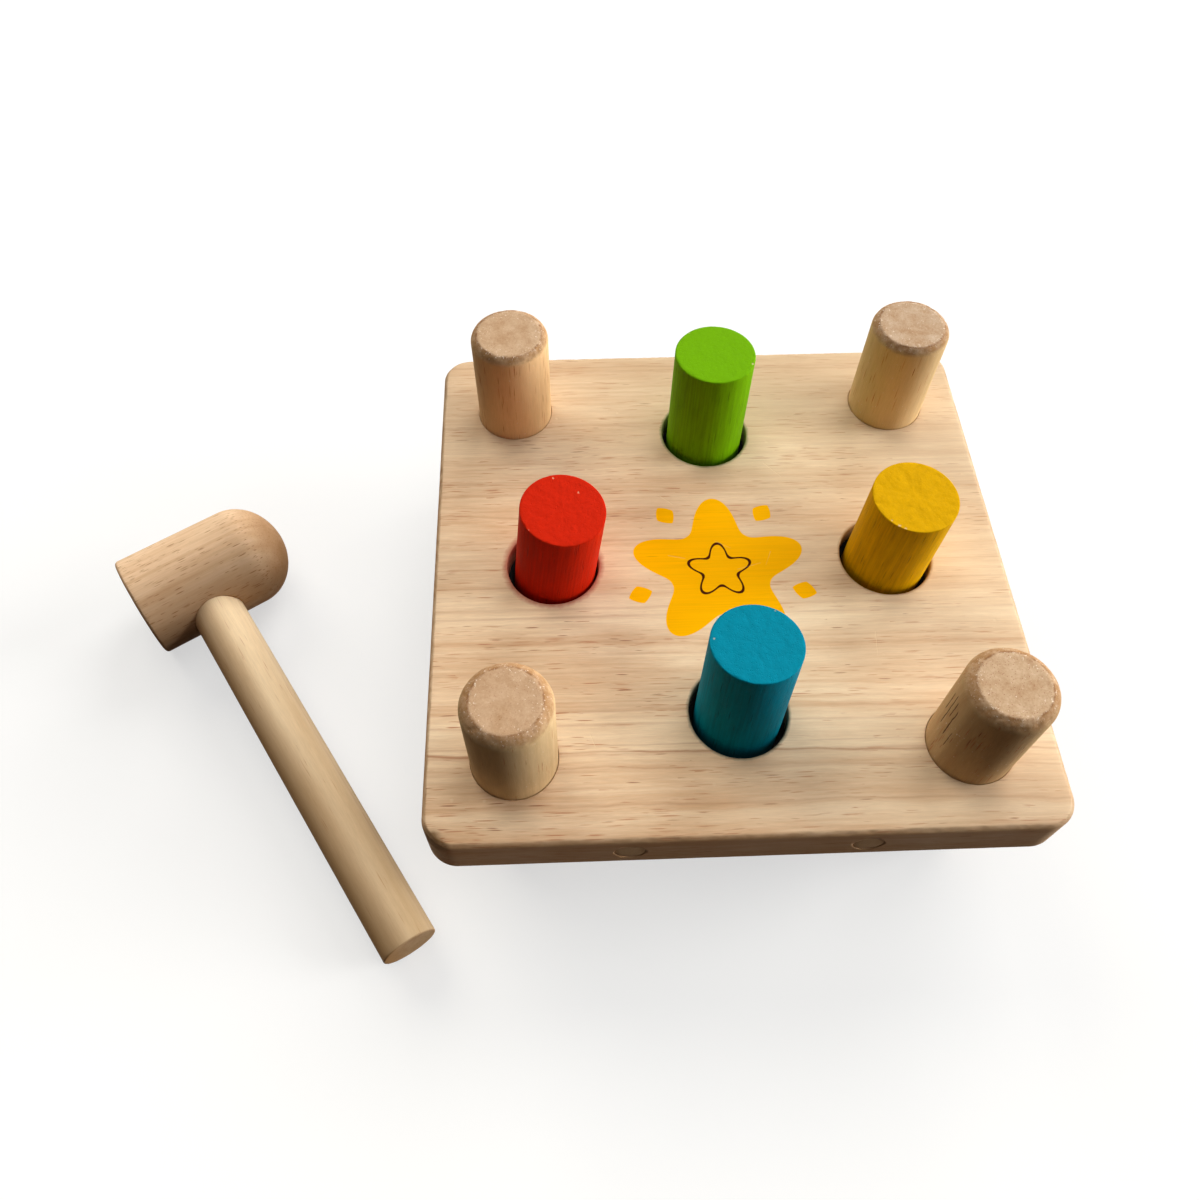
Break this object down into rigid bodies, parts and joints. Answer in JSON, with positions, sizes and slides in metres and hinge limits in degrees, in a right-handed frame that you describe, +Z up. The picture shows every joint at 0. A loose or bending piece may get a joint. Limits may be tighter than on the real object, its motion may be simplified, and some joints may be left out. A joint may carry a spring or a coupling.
{
  "type": "pounding bench",
  "caption": "Square wooden pounding bench on corner posts, with coloured pegs that a mallet drives through rubber-ringed holes.",
  "frame": {"origin": "on the floor, at the middle of the rectangle that the bench and the mallet beside it cover", "axes": "+Z up; +X to the right, from the mallet towards the bench; +Y to the back, away from the blue peg's side"},
  "size_m": [0.358, 0.2414, 0.1095],
  "materials": {
    "board_wood": "sanded pale rubberwood, clear satin lacquer, worn",
    "post_wood": "turned rubberwood dowel, clear satin lacquer, scuffed ends",
    "dowel_wood": "end grain, sanded flush",
    "mallet_wood": "turned rubberwood, clear satin lacquer",
    "green_paint": "green paint on wood, satin",
    "red_paint": "red paint on wood, satin",
    "yellow_paint": "yellow paint on wood, satin",
    "blue_paint": "blue paint on wood, satin",
    "ring_rubber": "matt black rubber"
  },
  "bodies": {
    "bench": {"board": "board_wood", "front_left_post": "post_wood", "front_right_post": "post_wood", "back_left_post": "post_wood", "back_right_post": "post_wood", "front_left_edge_dowel": "dowel_wood", "front_right_edge_dowel": "dowel_wood", "back_left_edge_dowel": "dowel_wood", "back_right_edge_dowel": "dowel_wood", "green_grip_ring": "ring_rubber", "red_grip_ring": "ring_rubber", "yellow_grip_ring": "ring_rubber", "blue_grip_ring": "ring_rubber"},
    "green_peg": {"green_peg": "green_paint"},
    "red_peg": {"red_peg": "red_paint"},
    "yellow_peg": {"yellow_peg": "yellow_paint"},
    "blue_peg": {"blue_peg": "blue_paint"},
    "mallet": {"mallet_head": "mallet_wood", "mallet_handle": "mallet_wood"}
  },
  "joints": [
    {"name": "green_peg_slide", "type": "slide", "parent": "bench", "child": "green_peg", "axis": [0.0035, 0.0175, 0.9998], "range_m": [-0.0442, 0.0048]},
    {"name": "red_peg_slide", "type": "slide", "parent": "bench", "child": "red_peg", "axis": [0.0923, -0.0349, 0.9951], "range_m": [-0.0376, 0.0114]},
    {"name": "yellow_peg_slide", "type": "slide", "parent": "bench", "child": "yellow_peg", "axis": [0.0227, -0.0244, 0.9994], "range_m": [-0.0389, 0.0101]},
    {"name": "blue_peg_slide", "type": "slide", "parent": "bench", "child": "blue_peg", "axis": [0.0244, 0.0802, 0.9965], "range_m": [-0.0418, 0.0072]},
    {"name": "mallet_lift", "type": "slide", "parent": "bench", "child": "mallet", "axis": [0, 0, 1], "range_m": [0, 0.12]}
  ]
}
